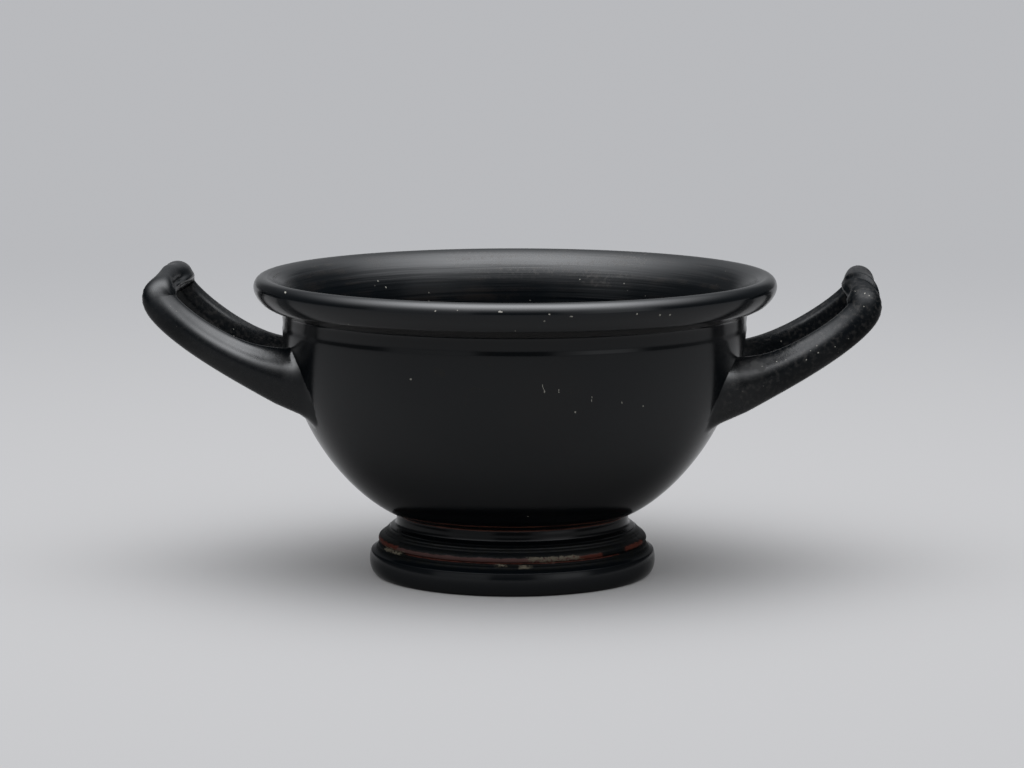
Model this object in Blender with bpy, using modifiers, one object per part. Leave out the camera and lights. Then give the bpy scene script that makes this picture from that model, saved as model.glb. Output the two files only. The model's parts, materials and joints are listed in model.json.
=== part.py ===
"""Black-glazed cup-skyphos, a Greek wheel-thrown drinking cup.

One fired piece of clay: a deep bowl with an outturned moulded rim, a moulded ring foot
that is hollow underneath, and two horseshoe handles whose tips are bent up and inward.
The cup stands on the world's XY plane with its axis on Z and its handles along X.
"""

import math
from collections import namedtuple

import bmesh
import bpy
from mathutils import Vector
from mathutils.geometry import interpolate_bezier

MM = 0.001

# Turned body, in millimetres. Heights stack upward from the resting ring.
FOOT_HEIGHT = 16.5            # resting ring to the joint under the bowl
BOWL_HEIGHT = 51.0            # joint to the small step below the rim
NECK_HEIGHT = 3.1             # plain band between the step and the rim
RIM_HEIGHT = 10.6             # band to the crest of the lip

RIM_RADIUS = 70.0             # widest line of the lip
BOWL_RADIUS = 62.5            # bowl at the step
STEM_RADIUS = 31.4            # foot where the bowl sits on it
MOULDING_RADIUS = 35.7        # upper moulding of the foot
TOE_RADIUS = 38.9             # widest line of the foot

WALL = 3.8                    # bowl wall
FLOOR = 4.4                   # floor of the bowl over the hollow foot
NECK_STEP = 0.35              # how far the band stands in from the bowl

# Bowl curve: how long each end holds its own direction, and that direction's slope.
BOWL_BASE_PULL = 10.5
BOWL_BASE_SLOPE = 0.32
BOWL_TOP_PULL = 30.8
BOWL_TOP_LEAN = 0.121

# Lip: a thick rounded roll with an edge below it and a sloping soffit to the band.
CREST_INSET = 1.5             # crest line in from the widest line
LIP_DROP = 2.9                # crest down to the widest line
LIP_UNDER = 4.3               # widest line down to the lower edge
LIP_UNDER_INSET = 2.7         # lower edge in from the widest line
FLARE_DEPTH = 13.7            # length of the outturned mouth inside the crest

# Foot: concave stem, half-round moulding, groove, rounded toe, narrow resting ring.
MOULDING_TOP = 11.5
MOULDING_MIDDLE = 10.1
GROOVE_HEIGHT = 8.5
GROOVE_DEPTH = 0.8
MOULDING_SHOULDER = 1.1       # top edge of the moulding in from its widest line
SCOTIA_DEPTH = 0.9            # pull of the stem's hollow curve
TOE_EDGE_HEIGHT = 6.3
TOE_EDGE_INSET = 0.5
REST_INSET = 1.8              # outer edge of the resting ring in from the toe
REST_WIDTH = 3.8
RECESS_CORNER = 9.0           # how far the hollow's rounded corner reaches inward

# Handles. Each is one horseshoe: two strands and the pinched bar that joins their ends.
ROOT_HALF_HEIGHT = 8.5        # strand where it leaves the wall
ROOT_HALF_WIDTH = 6.6
ROOT_FADE = 10.0              # distance over which the root thins into the strand
ROOT_RISE = 10.0              # degrees above level as the strand leaves the wall
ROOT_PULL = 14.5
SHOULDER_PULL = 4.6
BAR_TURN = 3.0                # tightness of the bend from strand to bar
STRAND_BOW = 1.3              # how far the strands bow apart between root and shoulder

# A strand's shoulder is where it turns up into the bar; lean is degrees outward of upright.
Strand = namedtuple("Strand", "root_spread root_height shoulder_spread shoulder_reach "
                              "shoulder_height lean half_height half_width")
Handle = namedtuple("Handle", "sign bar_reach bar_height bar_half front back")

LEFT_HANDLE = Handle(
    sign=-1, bar_reach=89.9, bar_height=79.9, bar_half=3.9,
    front=Strand(17.4, 55.0, 14.6, 94.0, 76.2, 3.0, 4.6, 4.7),
    back=Strand(17.4, 54.2, 14.4, 92.4, 77.0, 14.0, 4.3, 4.5))
RIGHT_HANDLE = Handle(
    sign=1, bar_reach=92.6, bar_height=79.0, bar_half=4.1,
    front=Strand(17.6, 52.8, 14.4, 93.9, 74.2, 3.0, 4.5, 4.5),
    back=Strand(17.6, 53.2, 14.8, 94.3, 75.8, 8.0, 4.25, 4.5))

SEGMENTS = 60                 # facets round the cup
STRAND_RINGS = 11
BAR_RINGS = 4
RING_POINTS = 14


def bezier(start, pull_start, pull_end, end, count):
    """Points along one cubic curve, both ends included, as Vectors."""
    return interpolate_bezier(Vector(start), Vector(pull_start), Vector(pull_end),
                              Vector(end), count)


def joined(*runs):
    """Runs of points end to end, without the points that two runs share."""
    points = []
    for run in runs:
        for point in run:
            if not points or (Vector(point) - points[-1]).length > 1e-4:
                points.append(Vector(point))
    return points


STEP_HEIGHT = FOOT_HEIGHT + BOWL_HEIGHT
NECK_TOP = STEP_HEIGHT + NECK_HEIGHT
CREST_HEIGHT = NECK_TOP + RIM_HEIGHT


def bowl_curve(count):
    """Outer side of the bowl from the foot up to the step, as (radius, height)."""
    base = (STEM_RADIUS, FOOT_HEIGHT)
    top = (BOWL_RADIUS, STEP_HEIGHT)
    base_pull = (base[0] + BOWL_BASE_PULL, base[1] + BOWL_BASE_PULL * BOWL_BASE_SLOPE)
    top_pull = (top[0] - BOWL_TOP_PULL * BOWL_TOP_LEAN, top[1] - BOWL_TOP_PULL)
    return [p.to_2d() for p in bezier((*base, 0), (*base_pull, 0), (*top_pull, 0),
                                      (*top, 0), count)]


def inward(points, distance):
    """The same curve moved square to itself towards the inside of the bowl."""
    moved = []
    for i, point in enumerate(points):
        along = points[min(i + 1, len(points) - 1)] - points[max(i - 1, 0)]
        along.normalize()
        moved.append(point + Vector((-along.y, along.x)) * distance)
    return moved


def flat(points):
    return [Vector((p[0], p[1], 0.0)) for p in points]


def body_profile():
    """Closed half section: up the inside, over the lip, down the outside and foot."""
    inner_wall = inward(bowl_curve(9), WALL)
    floor_height = inner_wall[0].y - inner_wall[0].x * BOWL_BASE_SLOPE * 0.5
    ceiling = floor_height - FLOOR
    crest = (RIM_RADIUS - CREST_INSET, CREST_HEIGHT, 0)
    widest = (RIM_RADIUS, CREST_HEIGHT - LIP_DROP, 0)
    edge = (RIM_RADIUS - LIP_UNDER_INSET, widest[1] - LIP_UNDER, 0)
    neck_radius = BOWL_RADIUS - NECK_STEP
    groove = (MOULDING_RADIUS - GROOVE_DEPTH, GROOVE_HEIGHT, 0)
    moulding_top = (MOULDING_RADIUS - MOULDING_SHOULDER, MOULDING_TOP, 0)
    moulding = (MOULDING_RADIUS, MOULDING_MIDDLE, 0)
    toe_edge = (TOE_RADIUS - TOE_EDGE_INSET, TOE_EDGE_HEIGHT, 0)
    rest_outer = (TOE_RADIUS - REST_INSET, 0, 0)
    rest_inner = (rest_outer[0] - REST_WIDTH, 0, 0)

    wall = flat(inner_wall)
    floor = bezier((0, floor_height, 0), (wall[0].x * 0.35, floor_height, 0),
                   (wall[0].x * 0.7, wall[0].y - wall[0].x * 0.3 * BOWL_BASE_SLOPE, 0),
                   wall[0], 5)
    mouth = bezier(wall[-1], (wall[-1].x + 0.2, wall[-1].y + FLARE_DEPTH * 0.55, 0),
                   (crest[0] - 6.0, crest[1] - 0.8, 0), crest, 5)
    lip = bezier(crest, (crest[0] + 0.6, crest[1], 0),
                 (widest[0], widest[1] + 1.5, 0), widest, 4)
    under = bezier(widest, (widest[0], widest[1] - 1.7, 0),
                   (edge[0] + 1.3, edge[1] + 1.2, 0), edge, 4)
    soffit = [(neck_radius + 0.7, NECK_TOP + 0.2, 0), (neck_radius, NECK_TOP - 0.5, 0),
              (neck_radius, STEP_HEIGHT + 0.3, 0)]
    bowl = flat(reversed(bowl_curve(12)))
    scotia = bezier((STEM_RADIUS - 0.2, FOOT_HEIGHT - 0.3, 0),
                    (STEM_RADIUS - SCOTIA_DEPTH, FOOT_HEIGHT - 1.8, 0),
                    (STEM_RADIUS - 0.3, MOULDING_TOP + 0.5, 0), moulding_top, 5)
    half_round = bezier(moulding_top, (moulding[0] - 0.2, MOULDING_TOP - 0.4, 0),
                        (moulding[0], moulding[1] + 0.6, 0), moulding, 3)
    lower = bezier(moulding, (moulding[0], moulding[1] - 0.9, 0),
                   (groove[0] + 0.1, groove[1] + 0.3, 0), groove, 3)
    slope = bezier(groove, (groove[0] + 1.9, groove[1] - 0.4, 0),
                   (toe_edge[0] - 0.4, toe_edge[1] + 0.7, 0), toe_edge, 3)
    toe = bezier(toe_edge, (TOE_RADIUS + 0.2, TOE_EDGE_HEIGHT - 1.1, 0),
                 (TOE_RADIUS + 0.6, 1.2, 0), rest_outer, 5)
    recess = bezier(rest_inner, (rest_inner[0] - 1.5, ceiling * 0.37, 0),
                    (rest_inner[0] - 4.0, ceiling * 0.9, 0),
                    (rest_inner[0] - RECESS_CORNER, ceiling * 0.97, 0), 5)
    return joined(floor, wall, mouth, lip, under, flat(soffit), bowl, scotia,
                  half_round, lower, slope, toe, recess, [(0, ceiling, 0)])


def turned(name, profile, collection):
    """A solid of revolution about Z from a half section given top down outside."""
    mesh = bpy.data.meshes.new(name)
    points = [(p[0] * MM, 0.0, p[1] * MM) for p in profile]
    mesh.from_pydata(points, [(i, i + 1) for i in range(len(points) - 1)], [])
    obj = bpy.data.objects.new(name, mesh)
    collection.objects.link(obj)
    screw = obj.modifiers.new("Turn", "SCREW")
    screw.axis = "Z"
    screw.steps = screw.render_steps = SEGMENTS
    screw.use_merge_vertices = True
    screw.merge_threshold = 0.00002
    screw.use_smooth_shade = True
    return obj


def outer_radius(height):
    """Radius of the bowl's outer side at a height."""
    curve = bowl_curve(60)
    for low, high in zip(curve, curve[1:]):
        if low.y <= height <= high.y:
            share = (height - low.y) / (high.y - low.y)
            return low.x + share * (high.x - low.x)
    return BOWL_RADIUS if height > STEP_HEIGHT else STEM_RADIUS


def wall_reach(height, spread):
    """How far out along X the bowl's outer side lies at this height and depth."""
    return math.sqrt(max(outer_radius(height) ** 2 - spread ** 2, 1.0))


def strand_points(strand):
    """Centre line of one strand, from inside the wall to its shoulder."""
    rise = math.radians(ROOT_RISE)
    lean = math.radians(strand.lean)
    reach = wall_reach(strand.root_height, strand.root_spread)
    root = Vector((reach, strand.root_spread, strand.root_height))
    out = Vector((math.cos(rise), 0.0, math.sin(rise)))
    shoulder = Vector((strand.shoulder_reach, strand.shoulder_spread,
                       strand.shoulder_height))
    up = Vector((math.sin(lean), -0.12, math.cos(lean)))
    run = interpolate_bezier(root, root + out * ROOT_PULL + Vector((0, STRAND_BOW, 0)),
                             shoulder - up * SHOULDER_PULL + Vector((0, STRAND_BOW, 0)),
                             shoulder, STRAND_RINGS)
    return [root - out * (2.0 * WALL)] + run


def bar_points(strand, handle):
    """Centre line from a shoulder to the middle of the bar."""
    lean = math.radians(strand.lean)
    shoulder = Vector((strand.shoulder_reach, strand.shoulder_spread,
                       strand.shoulder_height))
    middle = Vector((handle.bar_reach, 0.0, handle.bar_height))
    turn = Vector((math.sin(lean), -0.12, math.cos(lean))) * BAR_TURN
    pull = Vector((0.0, strand.shoulder_spread * 0.55, 0.0))
    return interpolate_bezier(shoulder, shoulder + turn, middle + pull, middle, BAR_RINGS)


def half_handle(strand, handle):
    """Rings' centres and half sizes from the root of one strand to the bar's middle."""
    run = joined(strand_points(strand), bar_points(strand, handle))
    shoulder = Vector((strand.shoulder_reach, strand.shoulder_spread,
                       strand.shoulder_height))
    bar_start = min(range(len(run)), key=lambda i: (run[i] - shoulder).length)
    rings = []
    travelled = 0.0
    for i, point in enumerate(run):
        if i > 1:
            travelled += (point - run[i - 1]).length
        fade = math.exp(-travelled / ROOT_FADE)
        high = strand.half_height + (ROOT_HALF_HEIGHT - strand.half_height) * fade
        wide = strand.half_width + (ROOT_HALF_WIDTH - strand.half_width) * fade
        if i > bar_start:
            share = (i - bar_start) / (len(run) - 1 - bar_start)
            high += (handle.bar_half - high) * share
            wide += (handle.bar_half - wide) * share
        rings.append((point, high, wide))
    return rings


def handle_object(name, handle, collection):
    """One horseshoe as a loft through oval rings of changing height and width."""
    front = half_handle(handle.front, handle)
    back = half_handle(handle.back, handle)
    front = [(Vector((p.x, -p.y, p.z)), high, wide) for p, high, wide in front]
    rings = front + back[-2::-1]
    fold = Vector((78.0, 0.0, 95.0))
    mesh = bmesh.new()
    loops = []
    for i, (point, high, wide) in enumerate(rings):
        along = rings[min(i + 1, len(rings) - 1)][0] - rings[max(i - 1, 0)][0]
        along.normalize()
        across = Vector((fold.x - point.x, 0.0, fold.z - point.z))
        across = (across - along * across.dot(along)).normalized()
        side = along.cross(across)
        loop = []
        for k in range(RING_POINTS):
            angle = 2.0 * math.pi * k / RING_POINTS
            at = point + across * (high * math.cos(angle)) + side * (wide * math.sin(angle))
            loop.append(mesh.verts.new((at.x * handle.sign * MM, at.y * MM, at.z * MM)))
        loops.append(loop)
    for near, far in zip(loops, loops[1:]):
        for k in range(RING_POINTS):
            nxt = (k + 1) % RING_POINTS
            mesh.faces.new((near[k], near[nxt], far[nxt], far[k]))
    mesh.faces.new(list(reversed(loops[0])))
    mesh.faces.new(loops[-1])
    bmesh.ops.recalc_face_normals(mesh, faces=mesh.faces)
    data = bpy.data.meshes.new(name)
    mesh.to_mesh(data)
    mesh.free()
    data.shade_smooth()
    obj = bpy.data.objects.new(name, data)
    collection.objects.link(obj)
    return obj


def core_profile():
    """Solid that fills the bowl to the middle of its wall and trims the handle roots."""
    middle = inward(bowl_curve(12), WALL * 0.5)
    top = middle[-1]
    return joined([(0, top.y + NECK_HEIGHT, 0), (top.x, top.y + NECK_HEIGHT, 0)],
                  flat(reversed(middle)), [(0, middle[0].y, 0)])


def boolean(obj, other, operation):
    modifier = obj.modifiers.new(other.name, "BOOLEAN")
    modifier.solver = "EXACT"
    modifier.operation = operation
    modifier.object = other


def guide(obj):
    """Marks an object that only shapes another one."""
    obj.hide_render = True
    obj.display_type = "WIRE"
    return obj


def black_glaze():
    material = bpy.data.materials.new("black glaze")
    material.use_nodes = True
    shader = material.node_tree.nodes["Principled BSDF"]
    shader.inputs["Base Color"].default_value = (0.013, 0.014, 0.014, 1.0)
    shader.inputs["Roughness"].default_value = 0.24
    shader.inputs["Metallic"].default_value = 0.0
    return material


def main():
    for obj in list(bpy.data.objects):
        bpy.data.objects.remove(obj, do_unlink=True)
    parts = bpy.data.collections.new("cup_skyphos")
    guides = bpy.data.collections.new("guides")
    for collection in (parts, guides):
        bpy.context.scene.collection.children.link(collection)

    core = guide(turned("wall_core", core_profile(), guides))
    cup = turned("cup_skyphos", body_profile(), parts)
    for name, handle in (("left_handle", LEFT_HANDLE), ("right_handle", RIGHT_HANDLE)):
        horseshoe = guide(handle_object(name, handle, guides))
        boolean(horseshoe, core, "DIFFERENCE")
        boolean(cup, horseshoe, "UNION")
    cup.data.materials.append(black_glaze())


main()
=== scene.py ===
"""Looks of a black-glazed cup-skyphos: the wheel-thrown body, its two horseshoe handles,
the gloss with its wear, and a plain pale studio.

The cup's sizes are in millimetres; meshes, scales of noise and the studio are in metres.
Z is the cup's axis, the handles lie along X and the viewer looks along +Y.
"""

from __future__ import annotations

import functools
import json
import logging
import math
from dataclasses import dataclass, field
from enum import Enum
from typing import Any, Callable, Sequence

import bmesh
import bpy
import numpy as np
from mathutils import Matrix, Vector
from mathutils.geometry import interpolate_bezier

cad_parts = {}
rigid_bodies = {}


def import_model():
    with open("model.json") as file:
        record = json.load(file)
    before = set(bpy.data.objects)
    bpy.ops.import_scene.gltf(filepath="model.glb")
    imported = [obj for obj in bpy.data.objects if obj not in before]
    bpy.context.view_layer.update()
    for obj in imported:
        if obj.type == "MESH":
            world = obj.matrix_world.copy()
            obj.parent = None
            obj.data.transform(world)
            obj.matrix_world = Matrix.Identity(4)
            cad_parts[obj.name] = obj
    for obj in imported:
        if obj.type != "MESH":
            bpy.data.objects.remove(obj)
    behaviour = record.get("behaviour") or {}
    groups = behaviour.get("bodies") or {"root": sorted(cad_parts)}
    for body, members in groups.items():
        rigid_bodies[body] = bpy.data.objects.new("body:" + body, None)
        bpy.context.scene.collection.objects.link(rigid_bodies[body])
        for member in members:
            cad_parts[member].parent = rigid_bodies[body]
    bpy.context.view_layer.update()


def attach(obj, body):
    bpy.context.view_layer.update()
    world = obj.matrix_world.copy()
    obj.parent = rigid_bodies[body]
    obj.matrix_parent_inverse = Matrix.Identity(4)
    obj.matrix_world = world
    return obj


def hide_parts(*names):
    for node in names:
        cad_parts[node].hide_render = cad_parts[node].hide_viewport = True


MM = 0.001
BODY = "root"
NODE = "cup_skyphos"

log = logging.getLogger("skyphos")

Run = list[Vector]
Pair = tuple[float, float]
Pulls = tuple[Pair, Pair]
Place = tuple[float, float, float]
Span = tuple[float, ...]
Colour = tuple[float, ...]
Line = tuple[np.ndarray, np.ndarray]


class Side(Enum):
    """Which end of the X axis a handle is on."""

    LEFT = -1
    RIGHT = 1


# Curves


def bend(*corners: Pair, count: int) -> Run:
    """A cubic curve in the half section.

    Args:
        corners: start, two pulls and end, as (radius, height).
        count: how many points, both ends included.

    Returns:
        The points as 2-D vectors.
    """
    points = [Vector((*c, 0.0)) for c in corners]
    return [p.to_2d() for p in interpolate_bezier(*points, count)]


def pulled(start: Pair, end: Pair, pulls: Pulls, count: int) -> Run:
    """A cubic curve whose two pulls are measured from its ends.

    Args:
        start: first point, as (radius, height).
        end: last point.
        pulls: how far the pulls lie from the start and from the end.
        count: how many points, both ends included.

    Returns:
        The points as 2-D vectors.
    """
    leave, arrive = (tuple(Vector(p) + Vector(pull)) for p, pull in zip((start, end), pulls))
    return bend(start, leave, arrive, end, count=count)


def straight(start: Pair, end: Pair, count: int = 2) -> Run:
    """A straight stretch of the half section, with both its ends."""
    a, b = Vector(start), Vector(end)
    return [a.lerp(b, i / (count - 1)) for i in range(count)]


def inward(points: Run, distance: float) -> Run:
    """The same curve moved square to itself towards the inside of the bowl.

    Args:
        points: the curve, going up.
        distance: how far it moves.

    Returns:
        The moved points.
    """
    moved = []
    for i, point in enumerate(points):
        along = (points[min(i + 1, len(points) - 1)] - points[max(i - 1, 0)]).normalized()
        moved.append(point + Vector((-along.y, along.x)) * distance)
    return moved


def cut_back(run: Run, cut: float) -> Run:
    """A run without the last stretch before its end.

    Args:
        run: the points.
        cut: length to take off the end.

    Returns:
        The shorter run, ending exactly at the cut.
    """
    kept = list(run)
    left = cut
    while len(kept) > 1:
        step = kept[-1] - kept[-2]
        if step.length > left:
            kept[-1] = kept[-1] - step.normalized() * left
            return kept
        left -= step.length
        kept.pop()
    return kept


def softened(runs: list[Run], cuts: list[float], steps: int = 3,
             least: float = 0.02) -> Run:
    """Joins runs end to end and rounds the corners between them.

    Args:
        runs: stretches of the section; each starts where the last one ends.
        cuts: for each joint, how far from it the rounding starts; 0 leaves it as it is.
        steps: how many points the rounding adds inside a corner.
        least: points closer than this to the last one are left out.

    Returns:
        One run of points.
    """
    points: Run = list(runs[0])
    for run, cut in zip(runs[1:], cuts):
        corner = run[0].copy()
        after = list(run)
        if cut > 0.0:
            points = cut_back(points, cut)
            after = list(reversed(cut_back(list(reversed(run)), cut)))
            a, b = points[-1], after[0]
            for k in range(1, steps + 1):
                t = k / (steps + 1)
                points.append(a * (1 - t) ** 2 + corner * (2 * t * (1 - t)) + b * t ** 2)
        points += [p for p in after if (p - points[-1]).length > least]
    return points


# The thrown body


@dataclass
class Bowl:
    """The deep bowl, from the foot up to the small step under the rim."""

    base_radius: float = 31.35
    base_height: float = 16.55
    height: float = 50.25
    radius: float = 62.5
    base_pull: float = 8.4
    base_slope: float = 0.31
    top_pull: float = 30.4
    top_lean: float = 0.074
    wall: float = 3.8
    floor: float = 5.0
    outside_points: int = 44
    inside_points: int = 26
    floor_points: int = 9
    floor_sag: float = 0.5
    floor_pulls: Pair = (0.7, 0.35)

    @property
    def step_height(self) -> float:
        """Height of the small step under the rim."""
        return self.base_height + self.height

    def outside(self, count: int) -> Run:
        """The outer side going up, as so many points."""
        low = (self.base_radius, self.base_height)
        top = (self.radius, self.step_height)
        return bend(low, (low[0] + self.base_pull, low[1] + self.base_pull * self.base_slope),
                    (top[0] - self.top_pull * self.top_lean, top[1] - self.top_pull), top,
                    count=count)

    def inside(self) -> Run:
        """The inner side of the wall going down."""
        return list(reversed(inward(self.outside(self.inside_points), self.wall)))

    @property
    def floor_height(self) -> float:
        """Height of the middle of the bowl's floor."""
        corner = self.inside()[-1]
        return corner.y - corner.x * self.base_slope * self.floor_sag

    def bottom(self) -> Run:
        """The floor, from the foot of the inner wall to the axis."""
        edge = self.inside()[-1]
        middle = self.floor_height
        outer, inner = self.floor_pulls
        near = (edge.x * outer, edge.y - edge.x * (1.0 - outer) * self.base_slope)
        return bend(tuple(edge), near, (edge.x * inner, middle), (0.0, middle),
                    count=self.floor_points)


@dataclass
class Rim:
    """The plain neck band and the heavy outturned lip above it."""

    neck_height: float = 4.85
    height: float = 9.55
    radius: float = 70.3
    crest_inset: float = 2.5
    drop: float = 2.9
    under: float = 4.5
    under_inset: float = 2.6
    step: float = 0.19
    neck_flare: float = 0.26
    neck_drop: float = 0.25
    step_rise: float = 1.4
    soffit_pulls: Pulls = ((0.84, 0.35), (-1.8, -1.2))
    edge_pulls: Pulls = ((1.3, 1.2), (0.0, -1.7))
    crest_pulls: Pulls = ((0.0, 1.55), (1.35, 0.0))
    mouth_pulls: Pulls = ((-5.0, -0.8), (0.2, 7.535))
    roundings: tuple[float, ...] = (0.4, 0.4, 0.5, 0.5, 0.0, 0.0)

    def runs(self, bowl: Bowl) -> tuple[list[Run], list[float]]:
        """The rim's stretches, from the step up over the crest and down into the mouth.

        Args:
            bowl: the bowl that it stands on.

        Returns:
            The runs and the rounding of the joint before each of them.
        """
        top = bowl.step_height
        neck = bowl.radius - self.step
        soffit = top + self.neck_height
        crest = (self.radius - self.crest_inset, soffit + self.height)
        widest = (self.radius, crest[1] - self.drop)
        edge = (self.radius - self.under_inset, widest[1] - self.under)
        foot = (neck, top + self.step_rise)
        throat = (neck + self.neck_flare, soffit - self.neck_drop)
        runs = [
            straight((bowl.radius, top), foot),
            straight(foot, throat, 8),
            pulled(throat, edge, self.soffit_pulls, 14),
            pulled(edge, widest, self.edge_pulls, 12),
            pulled(widest, crest, self.crest_pulls, 14),
            pulled(crest, tuple(bowl.inside()[0]), self.mouth_pulls, 26),
        ]
        return runs, list(self.roundings)


@dataclass
class Foot:
    """The ring foot: hollow stem, fine fillets, half-round moulding, ledge and toe."""

    stem: Pair = (31.35, 16.55)
    throat: Pair = (31.45, 15.0)
    cove: Pair = (32.6, 13.15)
    fillets: tuple[Pair, ...] = (
        (33.05, 12.95), (33.25, 12.65), (33.85, 12.25), (34.05, 11.95), (34.5, 11.6),
        (34.8, 11.25), (35.2, 11.0))
    band: Pair = (36.35, 9.6)
    band_groove: Pair = (35.85, 8.72)
    ridge: Pair = (36.4, 8.2)
    ledge: Pair = (36.45, 7.6)
    toe_edge: Pair = (38.3, 6.4)
    rest_outer: float = 37.1
    rest_width: float = 3.8
    recess_corner: float = 9.0
    recess_top: float = 0.97
    recess_dome: Pulls = ((8.0, 0.5), (16.0, 0.1))
    recess_upper: Pair = (4.0, 0.9)
    recess_lower: Pair = (1.5, 0.37)
    toe_pulls: Pulls = ((2.2, 1.2), (0.5, -1.1))
    shelf_pulls: Pulls = ((-0.6, 0.25), (0.5, -0.7))
    ridge_pulls: Pulls = ((-0.05, 0.25), (0.1, -0.2))
    groove_pulls: Pulls = ((0.35, 0.1), (0.0, -0.45))
    band_pulls: Pulls = ((0.0, 0.6), (0.5, -0.35))
    cove_pulls: Pulls = ((-0.8, 0.2), (0.0, -1.3))
    stem_pulls: Pulls = ((0.0, 0.8), (-0.15, -0.6))
    roundings: tuple[float, ...] = (0.0, 0.5, 0.22, 0.2, 0.3, 0.12, 0.12, 0.0)
    fillet_rounding: float = 0.09
    throat_rounding: float = 0.1

    def runs(self, ceiling: float) -> tuple[list[Run], list[float]]:
        """The foot's stretches, from the middle of the hollow out and up to the bowl.

        Args:
            ceiling: height of the hollow under the bowl's floor.

        Returns:
            The runs, and the rounding of the joint before each but the first.
        """
        rest = (self.rest_outer, 0.0)
        inner = (self.rest_outer - self.rest_width, 0.0)
        corner = (inner[0] - self.recess_corner, ceiling * self.recess_top)
        dome = [(across, ceiling + up) for across, up in self.recess_dome]
        upper, lower = ((inner[0] - across, ceiling * share)
                        for across, share in (self.recess_upper, self.recess_lower))
        fillets = (*self.fillets[::-1], self.cove)
        runs = [
            bend((0.0, ceiling), *dome, corner, count=8),
            bend(corner, upper, lower, inner, count=14),
            straight(inner, rest, 4),
            pulled(rest, self.toe_edge, self.toe_pulls, 18),
            pulled(self.toe_edge, self.ledge, self.shelf_pulls, 8),
            pulled(self.ledge, self.ridge, self.ridge_pulls, 4),
            straight(self.ridge, self.band_groove),
            pulled(self.band_groove, self.band, self.groove_pulls, 7),
            pulled(self.band, fillets[0], self.band_pulls, 7),
            *(straight(low, high) for low, high in zip(fillets, fillets[1:])),
            pulled(self.cove, self.throat, self.cove_pulls, 9),
            pulled(self.throat, self.stem, self.stem_pulls, 6),
        ]
        cuts = [*self.roundings, *[self.fillet_rounding] * (len(fillets) - 1),
                self.throat_rounding, 0.0]
        return runs, cuts


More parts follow.
